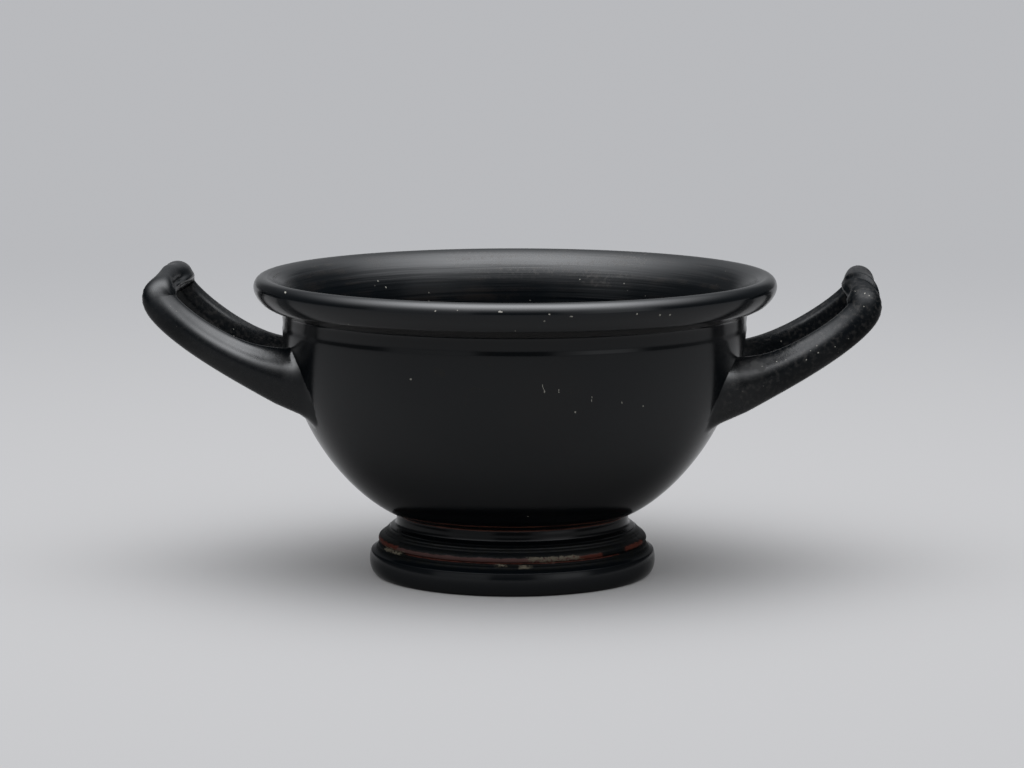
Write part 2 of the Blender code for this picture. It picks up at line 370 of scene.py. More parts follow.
@dataclass
class ThrownBody:
    """The bowl, rim and foot, turned about the axis by Geometry Nodes."""

    bowl: Bowl = field(default_factory=Bowl)
    rim: Rim = field(default_factory=Rim)
    foot: Foot = field(default_factory=Foot)
    facets: int = 256
    lean: float = 0.85
    out_of_round: float = 0.12
    waviness: float = 0.10
    waves: float = 1.7
    neck_play: float = 0.10
    neck_inner: float = 60.5
    neck_margin: float = 0.1
    oval_turn: float = 0.7
    wave_twist: float = 22.0
    wave_start: float = 30.0
    play_seed: float = 3.3
    play_scale: float = 1.9
    play_middle: float = 0.45
    seam: float = 0.008
    foot_joint: float = 0.15
    line_points: int = 120
    line_gap: float = 0.2
    line_top: float = 95.0

    def section(self) -> Run:
        """The closed half section, from under the foot up, over the lip and down inside."""
        runs, cuts = self.foot.runs(self.bowl.floor_height - self.bowl.floor)
        runs.append(self.bowl.outside(self.bowl.outside_points))
        cuts.append(self.foot_joint)
        rim_runs, rim_cuts = self.rim.runs(self.bowl)
        runs += rim_runs
        cuts += rim_cuts
        runs += [self.bowl.inside(), self.bowl.bottom()]
        cuts += [0.0, 0.0]
        return softened(runs, cuts)

    def outer_line(self) -> Line:
        """Height and radius of the bowl's outer side and neck, for the handles to meet."""
        neck = self.bowl.radius - self.rim.step
        points = self.bowl.outside(self.line_points) + [
            Vector((neck, h)) for h in (self.bowl.step_height + self.line_gap, self.line_top)]
        return np.array([p.y for p in points]), np.array([p.x for p in points])

    def tree(self) -> bpy.types.NodeTree:
        """The Geometry Nodes tree that turns a half section about Z.

        Returns:
            The tree, with its sizes as named inputs.
        """
        board = Board(bpy.data.node_groups.new("Throw on the wheel", "GeometryNodeTree"))
        section, facets, lean, oval, wavy, waves, neck_play, top, gloss = board.takes(
            Geometry="Geometry", Facets="Int", Lean="Float", Out_of_round="Float",
            Waviness="Float", Waves="Float", Neck_play="Float", Height="Float",
            Gloss="Material")
        rows = board.value("GeometryNodeAttributeDomainSize", {0: section},
                           out="Point Count")
        grid = board.value("GeometryNodeMeshGrid",
                           {"Vertices X": facets + 1.0, "Vertices Y": rows}, out="Mesh")
        index = board.value("GeometryNodeInputIndex")
        angle = (index / rows).math("FLOOR") / facets * math.tau
        cosine, sine = angle.math("COSINE"), angle.math("SINE")

        def sampled(values: Value, kind: str) -> Value:
            """What the section's points hold, row by row."""
            return board.value("GeometryNodeSampleIndex",
                               {"Geometry": section, "Value": values,
                                "Index": index.math("MODULO", rows)},
                               data_type=kind, domain="POINT")

        def noise(depth: Any, scale: Any) -> Value:
            """Slow noise round the axis, about 0.5."""
            return board.value("ShaderNodeTexNoise",
                               {"Vector": board.join(cosine, sine, depth), "Scale": scale,
                                "Detail": 1.0}, noise_dimensions="3D")

        spot = sampled(board.value("GeometryNodeInputPosition"), "FLOAT_VECTOR")
        radius, _, height = board.parts(spot)
        on_neck = sampled(board.value("GeometryNodeInputNamedAttribute", {"Name": "neck"},
                                      data_type="FLOAT"), "FLOAT")

        # Hand work: a slight oval, slow waves and a step that fades in and out.
        rise = height / top
        rise = rise * rise
        growth = (angle * 2.0 + self.oval_turn).math("COSINE") * (rise * oval)
        growth = growth + (noise(height * self.wave_twist, waves) - 0.5) * wavy
        growth = growth * radius.step(0.0, self.wave_start * MM)
        play = (noise(self.play_seed, self.play_scale) - self.play_middle) * on_neck
        radius = radius + growth + play * neck_play
        placed = board.join(radius * cosine + rise * lean, radius * sine, height)

        shaped = board.value("GeometryNodeSetPosition", {"Geometry": grid,
                                                         "Position": placed})
        closed = board.value("GeometryNodeMergeByDistance",
                             {"Geometry": shaped, "Distance": self.seam * MM})
        smooth = board.value("GeometryNodeSetShadeSmooth", {"Geometry": closed})
        real = board.value("GeometryNodeRealizeInstances", {"Geometry": smooth})
        dressed = board.value("GeometryNodeSetMaterial", {"Geometry": real,
                                                          "Material": gloss})
        return board.gives("Geometry", "Geometry", dressed)

    def build(self, gloss: bpy.types.Material) -> bpy.types.Object:
        """Throws the body.

        Args:
            gloss: the material it wears.

        Returns:
            The closed body as a plain mesh object.
        """
        points = self.section()
        mesh = bpy.data.meshes.new("half_section")
        mesh.from_pydata([(p.x * MM, 0.0, p.y * MM) for p in points],
                         [(i, i + 1) for i in range(len(points) - 1)], [])
        step, soffit = self.bowl.step_height, self.bowl.step_height + self.rim.neck_height
        on_neck = [float(p.x > self.neck_inner and step + self.neck_margin < p.y < soffit)
                   for p in points]
        mesh.attributes.new("neck", "FLOAT", "POINT").data.foreach_set("value", on_neck)
        blank = linked("thrown_body", mesh)
        wheel = blank.modifiers.new("Wheel", "NODES")
        wheel.node_group = self.tree()
        set_inputs(wheel, Facets=self.facets, Lean=self.lean * MM,
                   Out_of_round=self.out_of_round * MM, Waviness=self.waviness * MM,
                   Waves=self.waves, Neck_play=self.neck_play * MM,
                   Height=(step + self.rim.neck_height + self.rim.height) * MM, Gloss=gloss)
        body = made_plain(blank)
        log.info("thrown body: %d section points, %d faces", len(points),
                 len(body.data.polygons))
        return body


def linked(name: str, data: bpy.types.ID) -> bpy.types.Object:
    """A new object in the scene."""
    obj = bpy.data.objects.new(name, data)
    bpy.context.scene.collection.objects.link(obj)
    return obj


def set_inputs(modifier: bpy.types.NodesModifier, **values: Any) -> None:
    """Sets a Geometry Nodes modifier's named inputs through their identifiers.

    Args:
        modifier: the modifier.
        values: input names, with _ for a space, and their values.
    """
    for item in modifier.node_group.interface.items_tree:
        if item.item_type == "SOCKET" and item.in_out == "INPUT":
            name = item.name.replace(" ", "_")
            if name in values:
                modifier[item.identifier] = values[name]


def made_plain(obj: bpy.types.Object) -> bpy.types.Object:
    """Turns an object with modifiers into a plain mesh object of the same name.

    Args:
        obj: the object, which is removed.

    Returns:
        The plain object.
    """
    bpy.context.view_layer.update()
    graph = bpy.context.evaluated_depsgraph_get()
    mesh = bpy.data.meshes.new_from_object(obj.evaluated_get(graph), depsgraph=graph)
    name = obj.name
    bpy.data.objects.remove(obj, do_unlink=True)
    mesh.name = name
    return linked(name, mesh)


# The handles


@dataclass
class Strand:
    """One of a horseshoe's two strands, from the wall to the shoulder where it turns up."""

    root_spread: float
    root_height: float
    shoulder_spread: float
    shoulder_reach: float
    shoulder_height: float
    lean: float
    half_height: float
    half_width: float
    turn: float


@dataclass
class Press:
    """A place that a thumb pressed in, or with a negative depth a swelling beside it."""

    along: float
    around: float
    depth: float
    length: float
    width: float


@dataclass
class Fold:
    """A crease where the clay past it was pushed over the clay before it."""

    along: float
    slant: float
    around: float
    width: float
    depth: float
    length: float
    sharpness: float = 0.0018


@dataclass
class Horseshoe:
    """A handle: two strands and the pinched bar that joins their upturned ends."""

    name: str
    side: Side
    bar_reach: float
    bar_height: float
    bar_half: float
    front: Strand
    back: Strand
    bar_slope: Pair = (0.0, 0.15)
    presses: tuple[Press, ...] = ()
    folds: tuple[Fold, ...] = ()
    root_half_height: float = 8.5
    root_half_width: float = 6.6
    root_fade: float = 10.0
    root_rise: float = 10.0
    root_pull: float = 14.5
    shoulder_pull: float = 4.6
    strand_bow: float = 1.3
    crown: Place = (78.0, 0.0, 95.0)
    arris: float = 0.55
    arris_around: float = -52.0
    arris_width: float = 15.0
    inner_flat: float = 0.86
    fillet_top: float = 0.25
    fillet_under: float = 2.3
    fillet_bite: float = 0.25
    root_depth: float = 2.6
    root_growth: float = 0.24
    strand_points: int = 120
    bar_points: int = 50
    bar_pull: float = 0.55
    inward_turn: float = -0.12
    ring_points: int = 56
    ring_step: float = 1.0
    samples: int = 400
    crowding: float = 2.4
    crowded_at: float = 0.45
    crowd_width: float = 0.06
    arris_fade: float = 0.12
    clear_depth: float = 1.3
    root_rings: int = 7
    root_slide: float = 30.0
    halvings: int = 30
    smear_rounds: int = 5

    def reach(self, height: float, spread: float, line: Line) -> float:
        """How far out along X the wall lies at a height and a spread from the handles' plane."""
        radius = float(np.interp(height, *line))
        return math.sqrt(max(radius ** 2 - spread ** 2, 1.0))

    def half_path(self, strand: Strand, line: Line) -> list[Vector]:
        """Centre line from the wall to the middle of the bar.

        Args:
            strand: the strand it follows.
            line: the body's outer line.

        Returns:
            Closely spaced points.
        """
        rise, lean = math.radians(self.root_rise), math.radians(strand.lean)
        root = Vector((self.reach(strand.root_height, strand.root_spread, line),
                       strand.root_spread, strand.root_height))
        out = Vector((math.cos(rise), 0.0, math.sin(rise)))
        shoulder = Vector((strand.shoulder_reach, strand.shoulder_spread,
                           strand.shoulder_height))
        up = Vector((math.sin(lean), self.inward_turn, math.cos(lean)))
        bow = Vector((0.0, self.strand_bow, 0.0))
        run = interpolate_bezier(root, root + out * self.root_pull + bow,
                                 shoulder - up * self.shoulder_pull + bow, shoulder,
                                 self.strand_points)
        middle = Vector((self.bar_reach, 0.0, self.bar_height))
        pull = strand.shoulder_spread * self.bar_pull
        slope = Vector(self.bar_slope) * (pull if strand is self.back else -pull)
        bar = interpolate_bezier(shoulder, shoulder + up * strand.turn,
                                 middle + Vector((slope.x, pull, slope.y)), middle,
                                 self.bar_points)
        return run + bar[1:]

    def spine(self, line: Line) -> dict[str, np.ndarray]:
        """Centres and half sizes along the whole handle, closer together at its tip.

        Args:
            line: the body's outer line.

        Returns:
            Arrays: at (centres), high and wide (half sizes), run (distance along).
        """
        front = [Vector((p.x, -p.y, p.z)) for p in self.half_path(self.front, line)]
        back = self.half_path(self.back, line)
        path = np.array([tuple(p) for p in front + back[-2::-1]])
        steps = np.linalg.norm(np.diff(path, axis=0), axis=1)
        run = np.concatenate([[0.0], np.cumsum(steps)])
        split = len(front) - 1
        share = np.linspace(0.0, 1.0, self.samples)
        crowd = 1.0 + self.crowding * np.exp(-((share - self.crowded_at)
                                             / self.crowd_width) ** 2)
        crowd = np.cumsum(crowd) - crowd[0]
        count = int(run[-1] * crowd[-1] / (self.samples - 1) / self.ring_step) + 1
        even = np.interp(np.linspace(0.0, crowd[-1], count), crowd, share * run[-1])
        at = np.stack([np.interp(even, run, path[:, k]) for k in range(3)], axis=1)
        shoulder_front = run[self.strand_points - 1]
        shoulder_back = run[2 * split - self.strand_points + 1]
        middle = run[split]
        sizes = {}
        for key, root in (("half_height", self.root_half_height),
                          ("half_width", self.root_half_width)):
            first, last = getattr(self.front, key), getattr(self.back, key)
            front_size = first + (root - first) * np.exp(-even / self.root_fade)
            back_size = last + (root - last) * np.exp(-(run[-1] - even) / self.root_fade)
            size = np.where(even < middle, front_size, back_size)
            to_bar = np.clip(np.where(
                even < middle, (even - shoulder_front) / (middle - shoulder_front),
                (shoulder_back - even) / (shoulder_back - middle)), 0.0, 1.0)
            to_bar = to_bar * to_bar * (3.0 - 2.0 * to_bar)
            sizes[key] = size + (self.bar_half - size) * to_bar
        return {"at": at, "high": sizes["half_height"], "wide": sizes["half_width"],
                "run": even}

    def rings(self, spine: dict[str, np.ndarray]) -> tuple[np.ndarray, np.ndarray]:
        """Rings round the spine.

        Args:
            spine: what spine() gives.

        Returns:
            Ring points and the unit directions from each centre to them.
        """
        at = spine["at"]
        along = np.gradient(at, axis=0)
        along /= np.linalg.norm(along, axis=1, keepdims=True)
        across = np.array(self.crown) - at
        across[:, 1] = 0.0
        across -= along * np.sum(across * along, axis=1, keepdims=True)
        across /= np.linalg.norm(across, axis=1, keepdims=True)
        side = np.cross(along, across)
        turn = np.linspace(0.0, math.tau, self.ring_points, endpoint=False)
        cosine, sine = np.cos(turn), np.sin(turn)
        wide = np.where(sine < 0.0, self.inner_flat, 1.0)[None, :] * spine["wide"][:, None]
        up = spine["high"][:, None] * cosine[None, :]
        out = wide * sine[None, :]
        offset = across[:, None, :] * up[..., None] + side[:, None, :] * out[..., None]
        length = np.linalg.norm(offset, axis=2, keepdims=True)
        direction = offset / length
        share = spine["run"] / spine["run"][-1]

        def off(angle: float) -> np.ndarray:
            """Angle of each ring point from the one given, in degrees, signed."""
            return (np.degrees(turn) - angle + 180.0) % 360.0 - 180.0

        ends = np.clip(np.minimum(share, 1.0 - share) / self.arris_fade, 0.0, 1.0)[:, None]
        swell = self.arris * ends * np.exp(-(off(self.arris_around) / self.arris_width)
                                           ** 2)[None, :]
        for press in self.presses:
            swell = swell - press.depth * np.exp(
                -(((share - press.along) / press.length) ** 2)[:, None]
                - ((off(press.around) / press.width) ** 2)[None, :])
        for fold in self.folds:
            past = (share[:, None] - fold.along - fold.slant * off(fold.around)[None, :]
                    / 90.0) / fold.sharpness
            swell = swell + fold.depth / (1.0 + np.exp(-np.clip(past, -30.0, 30.0))) * np.exp(
                -(((share - fold.along) / fold.length) ** 2)[:, None]
                - ((off(fold.around) / fold.width) ** 2)[None, :])
        points = at[:, None, :] + offset + direction * swell[..., None]
        return points, direction

    def stand_off(self, points: np.ndarray, line: Line) -> np.ndarray:
        """Distance of points from the body's outer side, minus inside it."""
        return np.hypot(points[..., 0], points[..., 1]) - np.interp(points[..., 2], *line)

    def rooted(self, ring: np.ndarray, direction: np.ndarray, line: Line) -> np.ndarray:
        """Rings that carry a strand's last clear ring back into the wall.

        Args:
            ring: the ring nearest the wall that is still outside it.
            direction: its points' directions from its centre.
            line: the body's outer line.

        Returns:
            Rings from inside the wall outwards, without the given one.
        """
        rise = math.radians(self.root_rise)
        out = np.array([math.cos(rise), 0.0, math.sin(rise)])

        def pushed(slide: np.ndarray) -> np.ndarray:
            """The ring slid towards the wall, and smeared out on it."""
            bare = ring - out * slide[:, None] + direction * (self.root_growth
                                                              * slide)[:, None]
            return self.smeared(bare, direction, line)

        low, high = np.zeros(len(ring)), np.full(len(ring), self.root_slide)
        for _ in range(self.halvings):
            mid = (low + high) / 2.0
            deep = self.stand_off(pushed(mid), line) < -self.root_depth
            low, high = np.where(deep, low, mid), np.where(deep, mid, high)
        shares = np.linspace(1.0, 0.0, self.root_rings + 1)[:-1]
        return np.stack([pushed(high * share) for share in shares])

    def smeared(self, points: np.ndarray, direction: np.ndarray, line: Line) -> np.ndarray:
        """Rings with their clay smeared out where they meet the wall.

        The top edge stays crisp and the underside gets a rounder fillet.

        Args:
            points: ring points.
            direction: their directions from the rings' centres.
            line: the body's outer line.

        Returns:
            The moved points.
        """
        turn = np.linspace(0.0, math.tau, self.ring_points, endpoint=False)
        fillet = self.fillet_top + (self.fillet_under - self.fillet_top) * (
            0.5 - 0.5 * np.cos(turn)) ** 3
        flare = np.zeros(points.shape[:-1])
        for _ in range(self.smear_rounds):
            away = np.clip(self.stand_off(points + direction * flare[..., None], line)
                           + self.fillet_bite, 0.0, None)
            gap = np.clip(fillet - away, 0.0, None)
            wanted = fillet - np.sqrt(np.clip(fillet ** 2 - gap ** 2, 0.0, None))
            flare = (flare + wanted) / 2.0
        return points + direction * flare[..., None]

    def build(self, line: Line, gloss: bpy.types.Material) -> bpy.types.Object:
        """Rolls, bends and pinches the handle.

        Args:
            line: the body's outer line.
            gloss: the material it wears.

        Returns:
            The closed handle, its roots buried in the wall.
        """
        points, direction = self.rings(self.spine(line))
        clear = np.where(self.stand_off(points, line).min(axis=1) > -self.clear_depth)[0]
        kept = slice(clear[0], clear[-1] + 1)
        points, direction = points[kept], direction[kept]
        first = self.rooted(points[0], direction[0], line)
        last = self.rooted(points[-1], direction[-1], line)
        points = np.concatenate([first, self.smeared(points, direction, line), last[::-1]])
        points = points * np.array([self.side.value, 1.0, 1.0]) * MM

        mesh = bmesh.new()
        loops = [[mesh.verts.new(p) for p in ring] for ring in points]
        for near, far in zip(loops, loops[1:]):
            for k in range(self.ring_points):
                mesh.faces.new((near[k - 1], near[k], far[k], far[k - 1]))
        for loop in (loops[0], loops[-1]):
            middle = mesh.verts.new(sum((v.co for v in loop), Vector()) / len(loop))
            for first, second in zip(loop, loop[1:] + loop[:1]):
                mesh.faces.new((first, second, middle))
        bmesh.ops.recalc_face_normals(mesh, faces=mesh.faces)
        data = bpy.data.meshes.new(self.name)
        mesh.to_mesh(data)
        mesh.free()
        data.shade_smooth()
        data.materials.append(gloss)
        log.info("%s: %d rings", self.name, len(loops))
        return linked(self.name, data)


def left_horseshoe() -> Horseshoe:
    """The handle on the left, with a deep thumb mark across its bar."""
    return Horseshoe(
        name="left_handle", side=Side.LEFT, bar_reach=90.3, bar_height=79.6, bar_half=3.7,
        bar_slope=(-0.06, 0.05),
        front=Strand(17.4, 55.0, 14.6, 93.8, 76.3, 3.0, 4.5, 4.6, 2.6),
        back=Strand(17.4, 54.2, 14.4, 91.2, 76.8, 14.0, 4.3, 4.5, 3.2),
        presses=(Press(0.475, -15.0, 2.4, 0.050, 42.0), Press(0.425, -30.0, 1.5, 0.028, 40.0),
                 Press(0.465, -80.0, 1.0, 0.06, 45.0), Press(0.490, 72.0, -1.3, 0.05, 32.0),
                 Press(0.390, 70.0, 0.6, 0.045, 40.0), Press(0.16, 38.0, 0.9, 0.20, 26.0),
                 Press(0.06, 14.0, -0.9, 0.07, 26.0)))


def right_horseshoe() -> Horseshoe:
    """The handle on the right, whose front shoulder is folded over its bar."""
    return Horseshoe(
        name="right_handle", side=Side.RIGHT, bar_reach=92.7, bar_height=77.6, bar_half=3.9,
        front=Strand(17.6, 52.8, 14.4, 93.7, 74.0, 3.0, 4.5, 4.5, 1.2),
        back=Strand(17.6, 53.2, 14.8, 94.5, 75.3, 8.0, 4.25, 4.5, 3.2),
        presses=(Press(0.43, -40.0, 1.6, 0.03, 32.0), Press(0.57, -35.0, 0.9, 0.06, 45.0),
                 Press(0.16, 38.0, 0.6, 0.18, 26.0), Press(0.05, 14.0, -0.6, 0.06, 26.0)),
        folds=(Fold(0.440, -0.06, 60.0, 75.0, 1.3, 0.09),))


# Node trees


class Value:
    """An output in a node tree, worked on with Python's own operators."""

    def __init__(self, board: Board, socket: bpy.types.NodeSocket) -> None:
        """Takes the board that new nodes go on, and the output."""
        self.board, self.socket = board, socket

    def math(self, operation: str, *others: Any) -> Value:
        """A Math node that starts from this value."""
        return self.board.value("ShaderNodeMath", dict(enumerate((self, *others))),
                                operation=operation)

    def vector(self, operation: str, *others: Any, out: int | str = 0) -> Value:
        """A Vector Math node that starts from this value."""
        return self.board.value("ShaderNodeVectorMath", dict(enumerate((self, *others))),
                                out=out, operation=operation)

    def step(self, low: Any, high: Any, start: float = 0.0, end: float = 1.0) -> Value:
        """A soft step.

        Args:
            low: where it starts.
            high: where it ends.
            start: result below low.
            end: result above high.

        Returns:
            The result.
        """
        return self.board.value("ShaderNodeMapRange",
                                {"Value": self, "From Min": low, "From Max": high,
                                 "To Min": start, "To Max": end},
                                interpolation_type="SMOOTHSTEP")

    def __add__(self, other: Any) -> Value:
        """The sum."""
        return self.math("ADD", other)

    def __sub__(self, other: Any) -> Value:
        """The difference."""
        return self.math("SUBTRACT", other)

    def __rsub__(self, other: float) -> Value:
        """A number less this value."""
        return self.board.value("ShaderNodeMath", {0: other, 1: self},
                                operation="SUBTRACT")

    def __mul__(self, other: Any) -> Value:
        """The product."""
        return self.math("MULTIPLY", other)

    def __truediv__(self, other: Any) -> Value:
        """The quotient."""
        return self.math("DIVIDE", other)

    def __neg__(self) -> Value:
        """The value with its sign turned."""
        return self * -1.0


def highest(*values: Any) -> Value:
    """The highest of several values; the first is not a plain number."""
    return functools.reduce(lambda whole, value: whole.math("MAXIMUM", value), values)


def length(first: Value, second: Value) -> Value:
    """The length of a line with these two parts, square to each other."""
    return (first * first + second * second).math("SQRT")


class Board:
    """A node tree, with short ways to add nodes and join them."""

    def __init__(self, tree: bpy.types.NodeTree) -> None:
        """Takes the tree that nodes are added to."""
        self.tree = tree

    @classmethod
    def cleared(cls, owner: bpy.types.Material | bpy.types.World) -> Board:
        """The emptied node tree of a material or a world."""
        owner.use_nodes = True
        owner.node_tree.nodes.clear()
        return cls(owner.node_tree)

    def takes(self, **kinds: str) -> list[Value]:
        """Adds inputs to the tree's interface.

        Args:
            kinds: names, with _ for a space, and kinds of socket.

        Returns:
            The inputs as values, in the same order.
        """
        for name, kind in kinds.items():
            self.tree.interface.new_socket(name.replace("_", " "), in_out="INPUT",
                                           socket_type="NodeSocket" + kind)
        given = self.node("NodeGroupInput").outputs
        return [Value(self, given[name.replace("_", " ")]) for name in kinds]

    def gives(self, name: str, kind: str, result: Value) -> bpy.types.NodeTree:
        """Ends the tree with one named output.

        Args:
            name: the output's name.
            kind: its kind of socket.
            result: what goes there.

        Returns:
            The finished tree.
        """
        self.tree.interface.new_socket(name, in_out="OUTPUT",
                                       socket_type="NodeSocket" + kind)
        self.node("NodeGroupOutput", {name: result})
        return self.tree

    def node(self, kind: str, inputs: dict[str | int, Any] | None = None,
             **settings: Any) -> bpy.types.Node:
        """Adds a node.

        Args:
            kind: the node's type.
            inputs: its inputs by name or number, each a value or a plain number.
            settings: its properties.

        Returns:
            The node.
        """
        made = self.tree.nodes.new(kind)
        for name, setting in settings.items():
            setattr(made, name, setting)
        for key, given in (inputs or {}).items():
            if isinstance(given, Value):
                self.tree.links.new(given.socket, made.inputs[key])
            else:
                made.inputs[key].default_value = given
        return made

    def value(self, kind: str, inputs: dict[str | int, Any] | None = None,
              out: int | str = 0, **settings: Any) -> Value:
        """Adds a node and gives its output of that name or number."""
        return Value(self, self.node(kind, inputs, **settings).outputs[out])

    def join(self, x: Any, y: Any, z: Any) -> Value:
        """A vector from three values or numbers."""
        return self.value("ShaderNodeCombineXYZ", {0: x, 1: y, 2: z})

    def parts(self, vector: Value) -> list[Value]:
        """A vector's three parts."""
        return [Value(self, part) for part in
                self.node("ShaderNodeSeparateXYZ", {0: vector}).outputs]

    def blend(self, share: Any, first: Any, second: Any) -> Value:
        """The first colour, with this share of the second."""
        return self.value("ShaderNodeMix", {0: share, 6: first, 7: second}, out=2,
                          data_type="RGBA")

    def group(self, tree: bpy.types.NodeTree, **inputs: Any) -> Value:
        """Places a node group, given its inputs with _ for a space, and gives its output."""
        return self.value("ShaderNodeGroup", {name.replace("_", " "): given
                                              for name, given in inputs.items()},
                          node_tree=tree)


def group_board(name: str) -> Board:
    """The board of a new shader node group."""
    return Board(bpy.data.node_groups.new(name, "ShaderNodeTree"))


def ring_mark_group() -> bpy.types.NodeTree:
    """A line that runs round the cup at one radius and height, or along part of that.

    Returns:
        The group. Its inputs are in metres and radians, and Stray frays its edges and ends.
    """
    end_softness, end_fray, least_radius = 0.02, 160.0, 0.001
    board = group_board("Line round the cup")
    place, at, height, half_width, softness, stray, toward, reach = board.takes(
        Place="Vector", Radius="Float", Height="Float", Half_width="Float",
        Softness="Float", Stray="Float", Toward="Vector", Reach="Float")
    x, y, z = board.parts(place)
    radius = length(x, y)
    away = length(radius - at, z - height) + stray
    mask = away.step(half_width - softness, half_width + softness, 1.0, 0.0)
    facing = place.vector("DOT_PRODUCT", toward, out="Value") / highest(
        radius, least_radius)
    facing = facing.math("MINIMUM", 1.0).math("ARCCOSINE") + stray * end_fray
    window = facing.step(reach - end_softness, reach + end_softness, 1.0, 0.0)
    return board.gives("Mask", "Float", mask * window)


def speck_group() -> bpy.types.NodeTree:
    """Small round specks, a share of one to each cell of a jumbled grid.

    Returns:
        The group. The specks' sizes differ from cell to cell.
    """
    least, growth, core = 0.35, 0.9, 0.6
    board = group_board("Specks")
    place, cells, share, size = board.takes(Place="Vector", Cells="Float", Share="Float",
                                            Size="Float")
    grid = board.node("ShaderNodeTexVoronoi", {"Vector": place, "Scale": cells},
                      voronoi_dimensions="3D", feature="F1").outputs
    draws = board.node("ShaderNodeSeparateColor", {0: Value(board, grid["Color"])}).outputs
    chance, luck = Value(board, draws[0]), Value(board, draws[1])
    reach = size * (luck * growth + least)
    near = (Value(board, grid["Distance"]) / cells).step(reach * core, reach, 1.0, 0.0)
    return board.gives("Mask", "Float", near * chance.math("LESS_THAN", share))


def wheel_group() -> bpy.types.NodeTree:
    """Streaks that run round the axis on any slope, as a turning cup takes them.

    Returns:
        The group. Around and Across set how fine the streaks are each way.
    """
    least_radius = 0.002
    board = group_board("Wheel marks")
    place, around, across, detail, seed = board.takes(
        Place="Vector", Around="Float", Across="Float", Detail="Float", Seed="Float")
    x, y, z = board.parts(place)
    radius = length(x, y)
    safe = highest(radius, least_radius)
    where = board.join(x / safe * around, y / safe * around, z * across + seed)
    marks = board.value("ShaderNodeTexNoise", {"Vector": where, "W": radius * across,
                                               "Scale": 1.0, "Detail": detail},
                        noise_dimensions="4D")
    return board.gives("Value", "Float", marks)


def stroke_group() -> bpy.types.NodeTree:
    """One mark between two points, such as a speck, a scratch or a scuff.

    Returns:
        The group. The mark fades over the outer half of its width.
    """
    core = 0.5
    board = group_board("Mark between points")
    place, start, end, half_width = board.takes(Place="Vector", Start="Vector",
                                                End="Vector", Half_width="Float")
    whole, offset = end.vector("SUBTRACT", start), place.vector("SUBTRACT", start)
    share = (offset.vector("DOT_PRODUCT", whole, out="Value")
             / whole.vector("DOT_PRODUCT", whole, out="Value"))
    share = board.value("ShaderNodeClamp", {0: share})
    reached = whole.vector("MULTIPLY", board.join(share, share, share))
    away = offset.vector("DISTANCE", reached, out="Value")
    return board.gives("Mask", "Float", away.step(half_width * core, half_width, 1.0, 0.0))


# Finishes


@dataclass(frozen=True)
class Arc:
    """A coloured line round the cup, or the part of it round one bearing.

    Bearings are in degrees, 0 towards the viewer and 90 towards +X.
    """

    radius: float
    height: float
    half_width: float
    softness: float
    ragged: float
    bearing: float = 0.0
    half_angle: float = 180.0


@dataclass(frozen=True)
class Stroke:
    """A soft mark between two places."""

    start: Place
    end: Place
    half_width: float


@dataclass(frozen=True)
class Mark:
    """A small mark: how far to the right and how high it starts, and how far it runs.

    It lies on the side towards the viewer, or where it is far, on the side behind the axis.
    """

    across: float
    up: float
    half_width: float
    run: Pair = (0.0, 0.0)
    far: bool = False
    stand_back: float = 500.0

    def laid(self, cup: bpy.types.Object) -> Stroke:
        """The mark laid on the cup.

        Args:
            cup: the finished piece.

        Returns:
            The stroke, with both its ends on the surface.
        """
        ends = []
        for right, rise in ((0.0, 0.0), self.run):
            origin = Vector((self.across + right, 0.0 if self.far else -self.stand_back,
                             self.up + rise))
            found, spot, _, _ = cup.ray_cast(origin * MM, Vector((0.0, 1.0, 0.0)))
            if not found:
                log.warning("a mark at %.1f, %.1f misses the cup", self.across, self.up)
            ends.append(tuple(spot / MM))
        return Stroke(ends[0], ends[1], self.half_width)


@dataclass(frozen=True)
class Grain:
    """Plain noise: how fine it is, per metre, and its detail."""

    scale: float
    detail: float


@dataclass(frozen=True)
class WheelMarks:
    """Streaks round the axis: how fine they are each way, their detail and their seed."""

    around: float
    across: float
    detail: float
    seed: float


@dataclass(frozen=True)
class Scatter:
    """Scattered specks: cells per metre, the share that holds one, and its size."""

    cells: float
    share: float
    size: float


